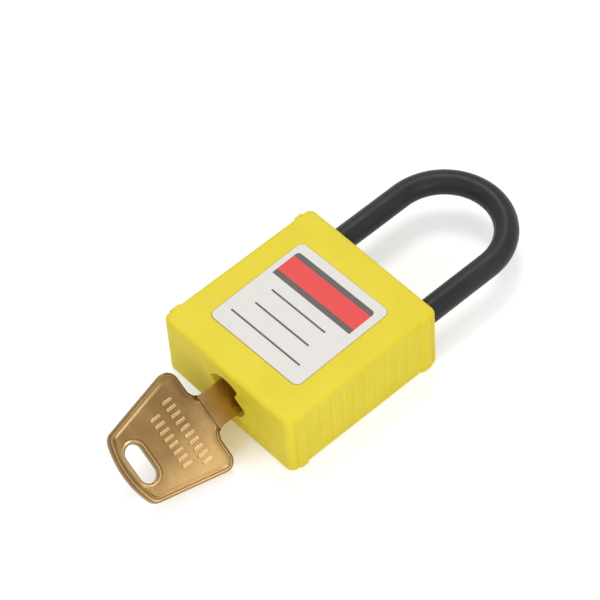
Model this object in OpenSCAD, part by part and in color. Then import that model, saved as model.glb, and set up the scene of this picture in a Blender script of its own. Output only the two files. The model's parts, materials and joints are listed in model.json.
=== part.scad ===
// Safety lockout padlock: moulded body, plastic shackle, wafer tumbler cylinder and key.
// The origin is the middle of the back face. X is across the body, Y points to the shackle
// and Z points out of the front face. The lock is drawn open: shackle raised, key turned.

/* [Body] */
// Width of the body over its side strips
body_w = 43.4; // [42:0.1:48]
// Height of the body from its keyhole end to its shackle end
body_h = 45.5; // [45:0.1:50]
// Thickness of the body from back to front
body_t = 19; // [18.6:0.1:22]
// Radius of the four upright corners
corner_r = 2; // [1:0.1:3]
// Radius of the front and back edges
edge_r = 0.9; // [0.4:0.1:1.5]
// Thickness of the wall at the keyhole end
end_wall = 2.4; // [2:0.1:3]

/* [Side grip] */
// Width of each raised strip on the sides
strip_w = 2.4; // [1.5:0.1:3]
// Distance from the end of the body to the near edge of a strip
strip_inset = 2.4; // [2:0.1:3]
// Radius of a strip's rounded edges
strip_r = 0.3; // [0.1:0.05:0.6]
// How far the strips stand above the grip panel
panel_depth = 0.5; // [0.3:0.05:0.7]
// How far the strips stand above the corners
strip_rise = 0.4; // [0.2:0.05:0.6]
// Number of grooves in each grip panel
groove_count = 9; // [5:1:10]
// Spacing of the grooves
groove_pitch = 3.3; // [2:0.1:3.5]
// Width of a groove at the surface
groove_w = 1.1; // [0.5:0.1:1.5]
// Depth of a groove
groove_depth = 0.2; // [0.1:0.05:0.3]
// Distance from the front and back faces to the ends of the grooves
groove_margin = 1.6; // [1.2:0.1:3]
// Width of the groove between a strip and the corner
end_groove_w = 0.6; // [0.3:0.1:1]
// Depth of that groove, from the corner
end_groove_depth = 0.3; // [0.15:0.05:0.5]

/* [Shackle] */
// Diameter of the shackle rod
rod_d = 6; // [5:0.1:6.5]
// Distance from the side of the body to the middle of a leg
leg_inset = 7.1; // [6:0.1:7.4]
// Clear height inside the raised shackle, above the body
raised_clear = 33.8; // [28:0.1:45]
// Travel of the shackle from raised to closed
lift = 9; // [8:0.1:10]
// Gap under the short leg when the shackle is raised
toe_gap = 0.2; // [0.1:0.05:0.5]
// Solid tip below the notch in the short leg
toe_tip = 1.5; // [1.2:0.1:2]
// Depth of the notch in the short leg
notch_depth = 2.6; // [2.3:0.1:3]
// Diameter of the pin that holds the long leg
stop_pin_d = 2.4; // [1.6:0.1:3]
// Distance of that pin below the shackle end of the body
stop_pin_drop = 14.8; // [14:0.1:16]
// Radius of the long leg's neck
neck_r = 1.9; // [1.5:0.1:2.2]
// Length of the long leg's foot below its neck
foot_len = 2.8; // [2:0.1:4]
// Chamfer at the ends of the rod
rod_chamfer = 0.7; // [0.3:0.1:1]
// Chamfer at the mouths of the leg holes
mouth_chamfer = 0.5; // [0.2:0.1:0.8]

/* [Shackle spring] */
// Diameter of the spring wire
spring_wire = 0.8; // [0.5:0.05:1]
// Number of turns
spring_turns = 9.5; // [6:0.5:10]
// Thickness of the cup's flange
cup_flange = 1.6; // [1:0.1:2.5]
// Length of the cup's nose inside the spring
cup_nose = 1.5; // [1:0.1:3]
// Thickness of the wall under the spring
spring_floor = 4.7; // [3:0.1:6]
// Gap round the outside and the inside of the spring
spring_room = 0.2; // [0.1:0.05:0.4]

/* [Lock cylinder] */
// Diameter of the plug
plug_d = 11; // [10.6:0.1:11.4]
// Outside diameter of the cylinder housing
housing_d = 14.4; // [14:0.1:14.6]
// Thickness of the plug clip
clip_t = 0.8; // [0.5:0.05:1]
// Outside diameter of the plug clip
clip_d = 11.8; // [11.4:0.1:12]
// Radius of the clip's groove in the plug
clip_groove_r = 4.2; // [3.8:0.1:4.5]
// Width of the clip's opening
clip_mouth = 4.6; // [4:0.1:5]
// Thickness of the plug's collar behind the clip
collar_t = 0.5; // [0.4:0.05:1]
// Width of the anti-turn rib on the housing
rib_w = 2.4; // [1.5:0.1:3]
// Height of that rib
rib_h = 0.8; // [0.5:0.1:1]
// Width of the two wafer grooves in the housing
wafer_groove_w = 6.8; // [6.6:0.1:7.5]
// Depth of those grooves
wafer_groove_depth = 0.9; // [0.5:0.1:1]

/* [Wafers] */
// Spacing of the wafers
wafer_pitch = 3.3; // [3:0.1:3.4]
// Distance from the plug's face to the middle of the first wafer
wafer_first = 2.9; // [2.5:0.1:3.5]
// Thickness of a wafer
wafer_t = 1.2; // [0.8:0.1:1.4]
// Width of a wafer
wafer_w = 6.4; // [6:0.1:6.5]
// Half length of the pocket for a wafer's ear and spring
pocket_x = 2.2; // [1.8:0.1:2.3]
// Height of the ear that the wafer's spring pushes
ear_h = 1; // [0.7:0.1:1.3]
// How far the ear stands out from the wafer
ear_reach = 1.35; // [1.2:0.05:1.4]
// Depth of the key's cut at each wafer, from the bow to the tip
cuts = [0.5, 0.5, 0.9, 1.3, 1.3, 1.7];
// Diameter of a wafer spring
wafer_spring_d = 1.26; // [1.1:0.02:1.3]
// Diameter of its wire
wafer_wire = 0.24; // [0.2:0.02:0.26]
// Number of its turns
wafer_spring_turns = 4; // [3:0.5:4]

/* [Keyhole] */
// Radius of the keyhole in the end wall
keyhole_r = 6.15; // [5.8:0.05:6.5]
// Angle of the key from flat, as drawn
key_turn = 35.6; // [30:0.1:40]
// Angle that the key turns through to lock
lock_turn = 78; // [70:0.5:80]
// Distance of the right-hand stop from the middle of the key, when turned to it
stop_gap = 1.7; // [1.3:0.1:2.2]
// Distance of the right-hand stop above the key, as drawn
stop_rise = 3; // [2.5:0.1:3.5]

/* [Key] */
// Thickness of the key's blade
blade_t = 2; // [1.8:0.05:2.1]
// Width of the key's blade
blade_w = 8; // [7.6:0.1:8]
// How far the blade sits off the plug's axis
blade_offset = 0.5; // [0.3:0.1:0.5]
// Length of the blade inside the body
blade_len = 26.2; // [24:0.1:27]
// Thickness of the bow over its rim
bow_t = 2.3; // [2.1:0.1:2.6]
// Depth of the field inside the rim
field_depth = 0.4; // [0.1:0.05:0.5]
// Width of the rim
rim_w = 1; // [0.8:0.1:1.4]
// Distance from the body to the bow's thicker part
neck_len = 6.3; // [5.5:0.1:7]
// Width of the neck between the bow and the plug's face
neck_w = 8.6; // [8.2:0.1:9]
// Half distance between the middles of the shoulder corners
shoulder_x = 10.5; // [9:0.1:11]
// Distance of the shoulder corners from the body
shoulder_y = 10.2; // [9.5:0.1:11]
// Radius of the shoulder corners
shoulder_r = 2.75; // [2:0.05:3]
// Half distance between the middles of the end corners
end_x = 6.7; // [5.8:0.1:7]
// Distance from the body to the bow's arched end
end_len = 30.8; // [30.2:0.1:33]
// Radius of that arch
end_arch_r = 23; // [18:1:60]
// Radius of the end corners
end_r = 2.9; // [2.6:0.05:3.2]
// Half distance between the middles of the slot's round ends
slot_x = 2.65; // [2:0.05:3.5]
// Distance of the ring slot from the body
slot_y = 25.95; // [25.5:0.05:26.2]
// Radius of the slot's round ends
slot_r = 2.25; // [1.8:0.05:2.4]
// Distance from the body at which the field ends beside the slot
field_end = 27.5; // [26.5:0.1:28]
// Radius of the fillets between neck and bow
neck_fillet = 2.8; // [1:0.1:3]
// Length of the slopes at the blade's tip
tip_slope = 2.5; // [1.5:0.1:3]
// Distance of the groove milled along the blade from the blade's middle
ward_shift = 1.75; // [1.2:0.05:2]
// Width of that groove
ward_w = 1.3; // [0.8:0.1:1.6]
// Distance from the body to the start of that groove
ward_start = 1; // [0:0.1:4]
// Depth of that groove, from the face of the blade
ward_depth = 0.5; // [0.3:0.05:0.6]

/* [Bolt work] */
// Radius at which the crank pin turns
crank_r = 2; // [1.8:0.05:2]
// Diameter of the crank pin
crank_pin_d = 2.4; // [2:0.1:2.6]
// Thickness of the cam
cam_t = 2.2; // [1.8:0.1:2.2]
// Thickness of the cam's web over the tang
cam_web = 0.8; // [0.6:0.1:1]
// Diameter of the cam
cam_d = 10.6; // [9.5:0.1:11]
// Diameter of the plug's tang
tang_d = 6.6; // [6:0.1:7]
// Width across the tang's flats
tang_flat = 4.2; // [3.6:0.1:4.6]
// Thickness of the bolt
bolt_t = 1.6; // [1.4:0.1:1.7]
// Width of the bolt's body
bolt_w = 9.2; // [8.8:0.1:10]
// Width of the bolt's nose
nose_w = 5.6; // [4.6:0.1:6]
// Thickness of the guide's floor
guide_floor = 1.2; // [1:0.1:1.5]
// Gap beside the crank pin in the bolt's slot
crank_slack = 0.08; // [0.06:0.01:0.1]

/* [Top cap] */
// Thickness of the cap
cap_t = 2.35; // [1.8:0.05:2.5]
// Wall left between the cap and the leg holes
cap_side_wall = 1.74; // [1:0.01:2]
// Radius of the cap's corners
cap_r = 1.2; // [0.5:0.1:2]
// How far the cap's seat stands in from its edge
cap_ledge = 0.5; // [0.3:0.1:0.8]
// Wall left beside the chamber at front and back
chamber_wall = 2.2; // [2:0.1:2.4]

/* [Label] */
// Width of the label
label_w = 28.7; // [20:0.1:32]
// Height of the label
label_h = 28.9; // [20:0.1:32]
// Thickness of the label film
label_t = 0.15; // [0.1:0.01:0.3]
// Radius of the label's corners
label_r = 1.6; // [0.5:0.1:3]
// How far the label was stuck on askew, in degrees
label_skew = 1.2; // [0:0.1:3]

/* [Fits] */
// Gap round the shackle's legs and other sliding fits
run_gap = 0.06; // [0.03:0.01:0.1]
// Gap round pieces that don't move
seat_gap = 0.05; // [0.02:0.01:0.1]
// Gap between turning or sliding faces
face_gap = 0.1; // [0.05:0.01:0.2]
// Gap between the key and what it passes
key_gap = 0.15; // [0.1:0.01:0.2]
// Gap round what has to swing or stop clear of its neighbours
free_gap = 0.5; // [0.3:0.05:0.7]

/* [Hidden] */
$fn = 96;
over = 1;
wafer_count = len(cuts);

// Body
top_y = body_h / 2;
base_y = -body_h / 2;
axis_z = body_t / 2;
leg_x = body_w / 2 - leg_inset;
rod_r = rod_d / 2;
leg_bore_r = rod_r + run_gap;
strip_y = top_y - strip_inset - strip_w / 2;
end_w = body_w - 2 * strip_rise;
panel_len = body_h - 2 * (strip_inset + strip_w);

// Shackle, drawn raised
bow_y = top_y + raised_clear - leg_x + rod_r;
toe_y = top_y + toe_gap;
notch_y = toe_y + toe_tip;
notch_h = bolt_t + 2 * face_gap;
stop_pin_y = top_y - stop_pin_drop;
neck_low = stop_pin_y - stop_pin_d / 2 - seat_gap;
neck_high = stop_pin_y + stop_pin_d / 2 + lift + face_gap;
heel_y = neck_low - foot_len;
toe_bore_y = toe_y - lift - free_gap;

// Spring and cup under the long leg
cup_y = heel_y - seat_gap - cup_flange;
spring_base = base_y + spring_floor;
cup_r = rod_r - face_gap / 2;
spring_r = cup_r - spring_room - spring_wire / 2;
cup_nose_r = spring_r - spring_wire / 2 - spring_room;

// Bolt work: the bolt's place follows the notch of the closed shackle
bolt_y = notch_y - lift + face_gap;
guide_y = bolt_y - face_gap - guide_floor;
cap_y = top_y - cap_t;
guide_top = cap_y - seat_gap;
cap_w = 2 * (leg_x - leg_bore_r - cap_side_wall);
chamber_x = cap_w / 2 - cap_ledge;
chamber_z = body_t / 2 - chamber_wall;
cap_h = 2 * chamber_z + 2 * cap_ledge;
upright = 90;
crank_start = upright + lock_turn / 2;
crank_x = crank_r * cos(crank_start);
crank_z = crank_r * sin(crank_start);
crank_top = bolt_y + bolt_t + free_gap;
bolt_stroke = 2 * crank_r * sin(lock_turn / 2);
nose_tip = leg_x - leg_bore_r - key_gap;
bolt_back = -chamber_x + free_gap;
bolt_front = chamber_x - bolt_stroke - free_gap;

// Cylinder, from the end wall up to the bolt's guide
housing_r = housing_d / 2;
cylinder_bore_r = housing_r + seat_gap;
housing_y = base_y + end_wall;
housing_top = guide_y - seat_gap;
plug_r = plug_d / 2;
plug_face = housing_y + face_gap;
cam_y = guide_y - 2 * face_gap - cam_t;
tang_len = cam_t - cam_web - seat_gap;
collar_y = cam_y - collar_t;
clip_y = collar_y - face_gap - clip_t;
plug_end = clip_y - face_gap;
collar_r = plug_r - free_gap;
cam_bore_r = clip_d / 2 + 2 * key_gap;

// Key and wafers, in the plug's own frame: x across the blade, z through its thickness
blade_low = blade_offset - blade_w / 2;
blade_high = blade_offset + blade_w / 2;
blade_tip = base_y + blade_len;
keyway_end = blade_tip + free_gap;
ward_x = blade_offset + ward_shift;
end_y = end_len - end_arch_r + sqrt(pow(end_arch_r - end_r, 2) - end_x * end_x);
wafer_r = plug_r - face_gap;
ear_top = pocket_x - face_gap;
spring_seat = ear_top - ear_h;
pocket_z = wafer_w / 2 + ear_reach + 2 * face_gap;
wafer_y = [for (i = [0:wafer_count - 1]) plug_face + wafer_first + i * wafer_pitch];
stop_turn = key_turn + lock_turn;

// Places and directions

// A flat shape drawn in X and Z, carried along Y
module along_y(from, to) {
    translate([0, to, 0]) rotate([90, 0, 0]) linear_extrude(to - from) children();
}

// A flat shape drawn in Y and Z, carried along X
module along_x(from, to) {
    translate([from, 0, 0]) rotate([90, 0, 90]) linear_extrude(to - from) children();
}

module on_axis() {
    translate([0, 0, axis_z]) children();
}

module on_leg(side) {
    translate([side * leg_x, 0, axis_z]) children();
}

// The plug's frame at the drawn turn of the key
module in_plug() {
    on_axis() rotate([0, key_turn, 0]) children();
}

// Flat shapes

module rounded_rect(w, h, r) {
    square([w - 2 * r, h], center = true);
    square([w, h - 2 * r], center = true);
    for (x = [-1, 1], y = [-1, 1])
        translate([x * (w / 2 - r), y * (h / 2 - r)]) circle(r);
}

// Outward direction of the straight edge that touches two circles
function edge_normal(p, q, r, s) =
    let (d = q - p, along = (r - s) / norm(d), across = sqrt(1 - along * along), u = d / norm(d))
    along * u + across * [u[1], -u[0]];

// Outline round a ring of circles, given anticlockwise: round corners joined by straight edges
module ring_of_circles(centres, radii) {
    n = len(centres);
    polygon([for (i = [0:n - 1])
        let (j = (i + 1) % n, m = edge_normal(centres[i], centres[j], radii[i], radii[j]))
        each [centres[i] + radii[i] * m, centres[j] + radii[j] * m]]);
    for (i = [0:n - 1])
        translate(centres[i]) circle(radii[i]);
}

// Springs

function helix_point(r, from, pitch, turns, t) =
    [r * cos(360 * turns * t), from + pitch * turns * t, r * sin(360 * turns * t)];

// A round wire wound about Y, as rings of points square to the wire
module coil(r, wire_r, from, to, turns, sides = 6, rings_per_turn = 8) {
    n = ceil(turns * rings_per_turn);
    pitch = (to - from - 2 * wire_r) / turns;
    rise = atan(pitch / (2 * PI * r));
    points = [for (k = [0:n], j = [0:sides - 1])
        let (a = 360 * turns * k / n, b = 360 * j / sides,
             out = [cos(a), 0, sin(a)], up = [sin(a) * sin(rise), cos(rise), -cos(a) * sin(rise)])
        helix_point(r, from + wire_r, pitch, turns, k / n) + wire_r * (cos(b) * out + sin(b) * up)];
    skin = [for (k = [0:n - 1], j = [0:sides - 1])
        let (a = k * sides + j, b = k * sides + (j + 1) % sides)
        each [[a, b, b + sides], [a, b + sides, a + sides]]];
    caps = [for (j = [1:sides - 2]) each [[0, j + 1, j], [n * sides, n * sides + j, n * sides + j + 1]]];
    middles = [for (k = [0:n]) helix_point(r, from, pitch, turns, k / n)];
    near = min([for (k = [0:n - rings_per_turn], m = [k + rings_per_turn - 1:min(n, k + rings_per_turn + 1)])
        norm(middles[k] - middles[m])]) - 2 * wire_r;
    echo(str("least gap between turns ", near, " mm"));
    polyhedron(points, concat(skin, caps));
}

// Body

// Corners and grip panels, with a groove beside each corner
module body_plan() {
    difference() {
        rounded_rect(end_w, body_h, corner_r);
        for (s = [-1, 1]) {
            translate([s * (body_w / 2 + over - panel_depth), 0]) square([2 * over, panel_len], center = true);
            for (e = [-1, 1])
                translate([s * (end_w / 2 + over - end_groove_depth), e * (top_y - strip_inset + end_groove_w / 2)])
                    square([2 * over, end_groove_w], center = true);
        }
    }
}

// Raised strips across the body, which show on both sides
module strip_plan() {
    for (s = [-1, 1]) translate([0, s * strip_y]) rounded_rect(body_w, strip_w, strip_r);
}

module grip_grooves() {
    for (s = [-1, 1], i = [0:groove_count - 1])
        translate([s * (body_w / 2 - panel_depth), (i - (groove_count - 1) / 2) * groove_pitch])
            polygon([[0, -groove_w / 2], [-s * groove_depth, 0], [0, groove_w / 2], [s * over, 0]]);
}

// A plan carried through the body's thickness, with rounded front and back edges
module edge_rounded(w) {
    intersection() {
        linear_extrude(body_t) children();
        along_y(base_y, top_y) translate([0, axis_z]) rounded_rect(w, body_t, edge_r);
        along_x(-body_w, body_w) translate([0, axis_z]) rounded_rect(body_h, body_t, edge_r);
    }
}

// Solid block with its strips and grip grooves
module body_block() {
    difference() {
        edge_rounded(end_w) body_plan();
        translate([0, 0, groove_margin]) linear_extrude(body_t - 2 * groove_margin) grip_grooves();
    }
    edge_rounded(body_w) strip_plan();
}

// One stop in the keyhole: a wedge with its corner at the crossing of two straight edges
module keyhole_stop(rise, gap) {
    reach = 3 * keyhole_r;
    intersection() {
        rotate(-key_turn) translate([-reach, rise]) square([2 * reach, reach]);
        rotate(180 - stop_turn) translate([-reach, -gap - reach]) square([2 * reach, reach]);
        circle(keyhole_r + over);
    }
}

module keyhole() {
    difference() {
        circle(keyhole_r);
        keyhole_stop(stop_rise, stop_gap);
        rotate(180) keyhole_stop(blade_t / 2 + key_gap, stop_gap);
    }
}

module leg_bore(side, from) {
    on_leg(side) {
        along_y(from, top_y + over) circle(leg_bore_r);
        translate([0, top_y - mouth_chamfer, 0]) rotate([-90, 0, 0])
            cylinder(h = 2 * mouth_chamfer, r1 = leg_bore_r, r2 = leg_bore_r + 2 * mouth_chamfer);
    }
}

module body_shell() {
    color("gold") difference() {
        body_block();
        leg_bore(-1, spring_base);
        leg_bore(1, toe_bore_y);
        on_axis() {
            along_y(base_y - over, housing_y + over) keyhole();
            along_y(housing_y, guide_y) circle(cylinder_bore_r);
            along_y(housing_y, guide_y) translate([0, -housing_r])
                square([rib_w + 2 * seat_gap, 2 * (rib_h + seat_gap)], center = true);
            along_y(guide_y - seat_gap, cap_y) square([2 * chamber_x, 2 * chamber_z], center = true);
            along_y(cap_y, top_y + over) rounded_rect(cap_w, cap_h, cap_r);
            along_y(bolt_y - face_gap, bolt_y + bolt_t + face_gap)
                translate([0, -nose_w / 2 - face_gap]) square([leg_x, nose_w + 2 * face_gap]);
            along_x(-leg_x, -housing_r + rib_h) translate([stop_pin_y, 0]) circle(stop_pin_d / 2 + seat_gap);
        }
    }
}

module top_cap() {
    color("gold") on_axis()
        along_y(cap_y, top_y) rounded_rect(cap_w - 2 * seat_gap, cap_h - 2 * seat_gap, cap_r - seat_gap);
}

module label() {
    color("white") translate([0, 0, body_t]) rotate(label_skew)
        linear_extrude(label_t) rounded_rect(label_w, label_h, label_r);
}

// Shackle

module leg(side, from) {
    on_leg(side) {
        along_y(from + rod_chamfer, bow_y) circle(rod_r);
        translate([0, from, 0]) rotate([-90, 0, 0]) cylinder(h = rod_chamfer, r1 = rod_r - rod_chamfer, r2 = rod_r);
    }
}

module shackle() {
    color("dimgray") difference() {
        union() {
            leg(-1, heel_y);
            leg(1, toe_y);
            translate([0, bow_y, axis_z]) rotate_extrude(angle = 180) translate([leg_x, 0]) circle(rod_r);
        }
        on_leg(-1) along_y(neck_low, neck_high) difference() {
            circle(rod_r + over);
            circle(neck_r);
        }
        on_leg(1) along_y(notch_y, notch_y + notch_h)
            translate([-rod_r - over, -rod_r - over]) square([notch_depth + over, 2 * (rod_r + over)]);
    }
}

module heel_stop_pin() {
    color("silver") on_axis()
        along_x(-leg_x + neck_r + face_gap, -housing_r - seat_gap)
            translate([stop_pin_y, 0]) circle(stop_pin_d / 2);
}

module spring_cup() {
    color("dimgray") on_leg(-1) {
        along_y(cup_y, cup_y + cup_flange) circle(cup_r);
        along_y(cup_y - cup_nose, cup_y) circle(cup_nose_r);
    }
}

module shackle_spring() {
    color("silver") on_leg(-1)
        coil(spring_r, spring_wire / 2, spring_base + seat_gap, cup_y - seat_gap, spring_turns);
}

// Lock cylinder

module cylinder_housing() {
    color("goldenrod") on_axis() difference() {
        union() {
            along_y(housing_y, housing_top) circle(housing_r);
            along_y(housing_y, housing_top) translate([-rib_w / 2, -housing_r - rib_h])
                square([rib_w, rib_h + rib_w]);
        }
        along_y(housing_y - over, plug_end + over) circle(plug_r + run_gap);
        along_y(plug_end, housing_top + over) circle(cam_bore_r);
        along_y(housing_y - over, plug_end + over) rotate(-stop_turn)
            square([2 * (plug_r + wafer_groove_depth), wafer_groove_w], center = true);
    }
}

// The slot for the key's blade, with a ward that enters the groove along the blade
module keyway_shape() {
    difference() {
        translate([blade_low - key_gap, -blade_t / 2 - key_gap])
            square([blade_w + 2 * key_gap, blade_t + 2 * key_gap]);
        translate([ward_x - ward_w / 2 + key_gap, blade_t / 2 - ward_depth + key_gap])
            square([ward_w - 2 * key_gap, ward_depth + over]);
    }
}

module tang_shape(d, flat) {
    intersection() {
        circle(d / 2);
        square([d + over, flat], center = true);
    }
}

module plug() {
    slot_w = wafer_w + 2 * face_gap;
    slot_t = wafer_t + face_gap;
    color("darkgoldenrod") in_plug() difference() {
        union() {
            along_y(plug_face, plug_end) circle(plug_r);
            along_y(plug_end - over, cam_y) circle(clip_groove_r);
            along_y(collar_y, cam_y) circle(collar_r);
            along_y(collar_y, cam_y + tang_len) tang_shape(tang_d, tang_flat);
        }
        along_y(plug_face - over, keyway_end) keyway_shape();
        for (y = wafer_y) along_y(y - slot_t / 2, y + slot_t / 2) {
            square([2 * plug_d, slot_w], center = true);
            translate([-pocket_x, 0]) square([2 * pocket_x, pocket_z]);
        }
    }
}

module plug_clip() {
    color("silver") in_plug() along_y(clip_y, clip_y + clip_t) difference() {
        circle(clip_d / 2);
        circle(clip_groove_r + seat_gap);
        translate([0, -clip_mouth / 2]) square([clip_d, clip_mouth]);
    }
}

// One tumbler plate with a window for the blade and an ear for its spring
module wafer(i) {
    color("khaki") in_plug() along_y(wafer_y[i] - wafer_t / 2, wafer_y[i] + wafer_t / 2) difference() {
        union() {
            intersection() {
                circle(wafer_r);
                square([plug_d, wafer_w], center = true);
            }
            translate([ear_top - ear_h, 0]) square([ear_h, wafer_w / 2 + ear_reach]);
        }
        translate([blade_low + cuts[i] - face_gap / 2, -blade_t / 2 - key_gap])
            square([blade_w - cuts[i] + face_gap / 2 + key_gap, blade_t + 2 * key_gap]);
    }
}

module wafer_spring(i) {
    color("silver") in_plug()
        translate([0, wafer_y[i], wafer_w / 2 + face_gap + wafer_spring_d / 2]) rotate([0, 0, -90])
            coil((wafer_spring_d - wafer_wire) / 2, wafer_wire / 2, -pocket_x + seat_gap / 2,
                 spring_seat - seat_gap / 2, wafer_spring_turns);
}

// Bolt work

module tail_cam() {
    color("silver") {
        in_plug() difference() {
            along_y(cam_y, cam_y + cam_t) circle(cam_d / 2);
            along_y(cam_y - over, cam_y + cam_t - cam_web)
                tang_shape(tang_d + 2 * seat_gap, tang_flat + 2 * seat_gap);
        }
        on_axis() translate([crank_x, 0, crank_z]) along_y(cam_y + cam_t - cam_web / 2, crank_top)
            circle(crank_pin_d / 2);
    }
}

module bolt_guide() {
    color("dimgray") on_axis() difference() {
        along_y(guide_y, guide_top)
            square([2 * (chamber_x - seat_gap), 2 * (chamber_z - seat_gap)], center = true);
        along_x(-cap_w, cap_w) translate([bolt_y - face_gap, -bolt_w / 2 - face_gap])
            square([bolt_t + 2 * face_gap, bolt_w + 2 * face_gap]);
        along_y(guide_y - over, crank_top + free_gap) circle(crank_r + crank_pin_d / 2 + free_gap);
    }
}

module lock_bolt() {
    slot_w = crank_pin_d + 2 * crank_slack;
    slot_low = crank_z - crank_pin_d / 2 - 2 * key_gap;
    slot_high = crank_r + crank_pin_d / 2 + 2 * key_gap;
    color("silver") on_axis() along_y(bolt_y, bolt_y + bolt_t) difference() {
        union() {
            translate([bolt_back, -bolt_w / 2]) square([bolt_front - bolt_back, bolt_w]);
            translate([0, -nose_w / 2]) square([nose_tip, nose_w]);
        }
        translate([crank_x - slot_w / 2, slot_low]) square([slot_w, slot_high - slot_low]);
    }
}

// Key

// Blade outline with a cut for each wafer, each at least as deep as the one before it
module blade_outline() {
    edge = [for (i = [0:wafer_count - 1])
        let (step = wafer_pitch / 2, before = i == 0 ? 0 : cuts[i - 1])
        each [[blade_low + before, wafer_y[i] - step], [blade_low + cuts[i], wafer_y[i] - step + cuts[i] - before]]];
    polygon(concat(
        [[blade_low, base_y - shoulder_y]], edge,
        [[blade_low + cuts[wafer_count - 1], blade_tip - tip_slope], [blade_offset, blade_tip],
         [blade_high - tip_slope / 2, blade_tip - tip_slope / 2], [blade_high, blade_tip - tip_slope],
         [blade_high, base_y - shoulder_y]]));
}

// Four round corners joined by straight edges, with an arch that meets the end corners smoothly
module bow_outline(inset) {
    touch_x = end_x * end_arch_r / (end_arch_r - end_r);
    translate([blade_offset, base_y]) {
        ring_of_circles([[shoulder_x, -shoulder_y], [-shoulder_x, -shoulder_y], [-end_x, -end_y], [end_x, -end_y]],
                        [shoulder_r - inset, shoulder_r - inset, end_r - inset, end_r - inset]);
        intersection() {
            translate([0, end_arch_r - end_len]) circle(end_arch_r - inset);
            translate([-touch_x, -end_len]) square([2 * touch_x, end_len - end_y]);
        }
    }
}

module ring_slot(grow) {
    translate([blade_offset, base_y - slot_y]) {
        square([2 * slot_x, 2 * (slot_r + grow)], center = true);
        for (s = [-1, 1]) translate([s * slot_x, 0]) circle(slot_r + grow);
    }
}

// Neck with a hollow fillet on each side, where it widens into the bow
module bow_neck(inset) {
    fillet_x = neck_w / 2 + neck_fillet;
    translate([blade_offset, base_y - shoulder_y + shoulder_r]) for (s = [-1, 1]) difference() {
        translate([s * fillet_x / 2, 0]) square([fillet_x, 2 * neck_fillet], center = true);
        translate([s * fillet_x, neck_fillet]) circle(neck_fillet + inset);
    }
}

// The bow with the wide end of its neck
module bow_plate(inset) {
    bow_outline(inset);
    intersection() {
        bow_neck(inset);
        translate([-neck_w, base_y - shoulder_y]) square([2 * neck_w, shoulder_y - neck_len]);
    }
}

// The sunk field: it runs out to the end of the neck and stops beside the slot
module bow_field() {
    difference() {
        bow_plate(rim_w);
        ring_slot(rim_w);
        translate([-2 * shoulder_x, base_y - 2 * end_len]) square([4 * shoulder_x, 2 * end_len - field_end]);
    }
}

module key() {
    color("peru") in_plug() difference() {
        union() {
            translate([0, 0, -blade_t / 2]) linear_extrude(blade_t) {
                blade_outline();
                bow_neck(0);
                translate([blade_offset - neck_w / 2, base_y - shoulder_y])
                    square([neck_w, shoulder_y + plug_face - base_y - key_gap]);
            }
            translate([0, 0, -bow_t / 2]) linear_extrude(bow_t) bow_plate(0);
        }
        linear_extrude(2 * bow_t, center = true) ring_slot(0);
        for (s = [0, 1]) mirror([0, 0, s])
            translate([0, 0, bow_t / 2 - field_depth]) linear_extrude(bow_t) bow_field();
        translate([ward_x - ward_w / 2, base_y - ward_start, blade_t / 2 - ward_depth])
            cube([ward_w, blade_len + 2 * ward_start, blade_t]);
    }
}

body_shell();
top_cap();
label();
heel_stop_pin();
spring_cup();
shackle_spring();
shackle();
cylinder_housing();
plug();
plug_clip();
tail_cam();
bolt_guide();
lock_bolt();
key();
for (i = [0:wafer_count - 1]) {
    wafer(i);
    wafer_spring(i);
}
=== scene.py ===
import json
import bpy
import bmesh
import numpy as np
from mathutils import Matrix, Vector


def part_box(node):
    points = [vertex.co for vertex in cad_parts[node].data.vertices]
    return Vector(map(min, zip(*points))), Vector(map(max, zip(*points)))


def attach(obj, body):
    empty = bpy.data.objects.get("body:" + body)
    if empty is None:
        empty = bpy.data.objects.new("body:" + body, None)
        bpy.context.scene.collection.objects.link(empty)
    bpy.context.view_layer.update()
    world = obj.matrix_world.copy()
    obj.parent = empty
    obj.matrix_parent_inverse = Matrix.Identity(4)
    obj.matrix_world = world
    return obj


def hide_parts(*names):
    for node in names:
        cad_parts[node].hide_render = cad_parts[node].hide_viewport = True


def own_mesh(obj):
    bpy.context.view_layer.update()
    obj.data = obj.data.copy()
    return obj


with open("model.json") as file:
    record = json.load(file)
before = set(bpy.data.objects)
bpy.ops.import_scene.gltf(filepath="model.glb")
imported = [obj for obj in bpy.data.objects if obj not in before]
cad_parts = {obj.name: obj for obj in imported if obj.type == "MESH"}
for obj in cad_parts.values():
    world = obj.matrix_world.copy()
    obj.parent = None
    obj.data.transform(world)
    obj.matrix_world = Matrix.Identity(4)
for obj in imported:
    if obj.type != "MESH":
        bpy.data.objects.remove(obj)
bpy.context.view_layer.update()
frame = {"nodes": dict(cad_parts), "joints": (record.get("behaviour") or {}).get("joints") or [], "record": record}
mm = 0.001
print("frame loaded:", len(frame["nodes"]), "nodes")


def boxMm(node):
    low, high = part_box(node)
    return np.array(low) / mm, np.array(high) / mm


# places that several pieces share, read from the frame, in mm
shellLow, shellHigh = boxMm("body_shell")
housingLow, housingHigh = boxMm("cylinder_housing")
guideLow, guideHigh = boxMm("bolt_guide")
capLow, capHigh = boxMm("top_cap")
pinLow, pinHigh = boxMm("heel_stop_pin")
boltLow, boltHigh = boxMm("lock_bolt")
springLow, springHigh = boxMm("shackle_spring")
mounts = {m["name"]: m for m in frame["record"]["mounts"]}
lift = -next(j for j in frame["joints"] if j["name"] == "shackle_lift")["range_m"][0] / mm
topY, baseY = shellHigh[1], shellLow[1]
bodyWidth, bodyThick = shellHigh[0] - shellLow[0], shellHigh[2]
axisZ = bodyThick / 2
legX = mounts["shackle_toe"]["pos_m"][0] / mm
rodRadius = mounts["shackle_toe"]["dims"]["r_mm"]
slotAxis = mounts["key_ring_slot"]["axis"]
keyTurn = np.arctan2(slotAxis[0], slotAxis[2])
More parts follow.
